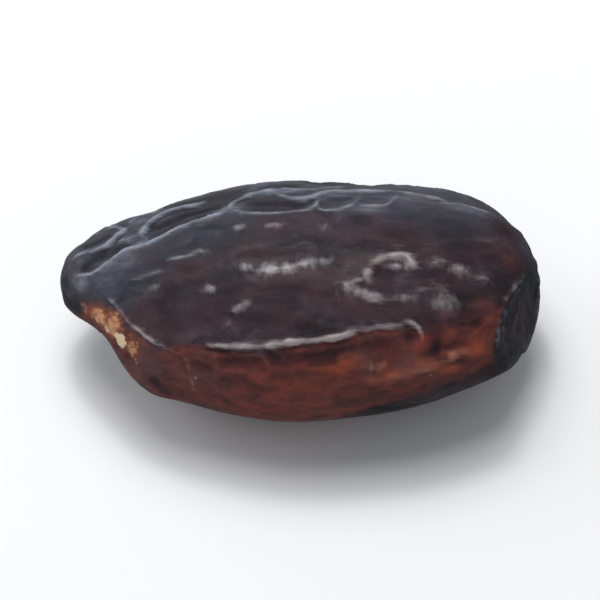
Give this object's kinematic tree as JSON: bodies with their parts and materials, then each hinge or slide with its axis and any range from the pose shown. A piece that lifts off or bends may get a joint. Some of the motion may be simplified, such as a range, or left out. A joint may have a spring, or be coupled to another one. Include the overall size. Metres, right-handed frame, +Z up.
{
  "type": "tonka bean",
  "caption": "Dried tonka bean: a long, slightly flattened seed with a blunt beak, a scar notch below it and a skin of long raised wrinkles.",
  "frame": {"origin": "on the ground, below the middle of the bean's box", "axes": "+Z up out of the broad side, -X towards the beak, -Y towards the edge with the scar"},
  "size_m": [0.03, 0.0159, 0.0112],
  "materials": {
    "skin": "dried seed coat, near black with a red-brown lower side, satin, with raised wrinkles"
  },
  "bodies": {
    "root": {"bean": "skin"}
  },
  "joints": []
}
